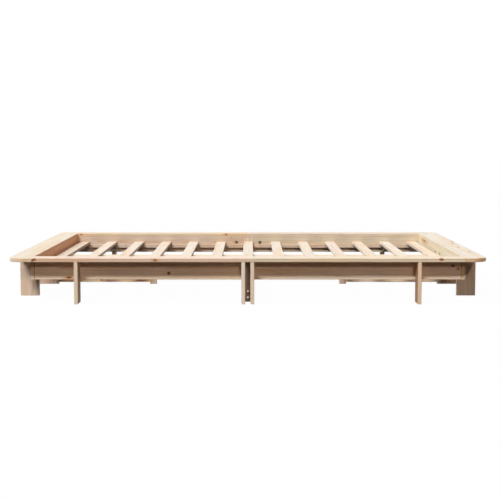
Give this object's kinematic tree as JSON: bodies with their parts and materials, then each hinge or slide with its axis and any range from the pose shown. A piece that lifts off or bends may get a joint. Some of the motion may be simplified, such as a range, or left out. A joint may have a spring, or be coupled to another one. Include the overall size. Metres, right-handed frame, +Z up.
{
  "type": "slatted bed frame",
  "caption": "Low slatted bed frame in solid pine, with a flat rim round a sunken mattress well, upright panels, board legs set square to the panels and planks on a beam under the slats.",
  "frame": {"origin": "on the floor, under the middle of the bed", "axes": "+X along the bed to the right end, +Y across the bed to the back long side, +Z up"},
  "size_m": [2.23, 1.63, 0.214],
  "materials": {
    "rim_boards": "smooth planed pine, unpainted",
    "panels": "smooth planed pine, unpainted",
    "legs": "smooth planed pine, unpainted",
    "supports": "planed pine, unpainted",
    "slats": "smooth planed pine, unpainted",
    "dowel_wood": "turned beech",
    "zinc_steel": "bright zinc"
  },
  "bodies": {
    "root": {"rim_front_left": "rim_boards", "rim_front_right": "rim_boards", "rim_back_left": "rim_boards", "rim_back_right": "rim_boards", "rim_left_end": "rim_boards", "rim_right_end": "rim_boards", "panel_front_left": "panels", "panel_front_right": "panels", "panel_back_left": "panels", "panel_back_right": "panels", "panel_left_end": "panels", "panel_right_end": "panels", "side_leg_front_left": "legs", "side_leg_front_right": "legs", "side_leg_back_left": "legs", "side_leg_back_right": "legs", "end_leg_front_left": "legs", "end_leg_front_right": "legs", "end_leg_back_left": "legs", "end_leg_back_right": "legs", "end_leg_middle_left": "legs", "end_leg_middle_right": "legs", "twin_leg_front_left": "legs", "twin_leg_front_right": "legs", "twin_leg_back_left": "legs", "twin_leg_back_right": "legs", "post_front": "supports", "post_back": "supports", "post_left_end": "supports", "post_right_end": "supports", "batten_front": "supports", "batten_back": "supports", "plank_left": "supports", "plank_right": "supports", "beam_left": "supports", "beam_right": "supports", "centre_leg_left": "supports", "centre_leg_right": "supports", "low_rail_left": "supports", "low_rail_right": "supports", "cross_rail": "supports", "slat_01": "slats", "slat_02": "slats", "slat_03": "slats", "slat_04": "slats", "slat_05": "slats", "slat_06": "slats", "slat_07": "slats", "slat_08": "slats", "slat_09": "slats", "slat_10": "slats", "slat_11": "slats", "slat_12": "slats", "slat_13": "slats", "bolts": "zinc_steel", "pocket_bolts": "zinc_steel", "middle_studs": "zinc_steel", "barrel_nuts": "zinc_steel", "dowels": "dowel_wood", "screws": "zinc_steel"}
  },
  "joints": []
}
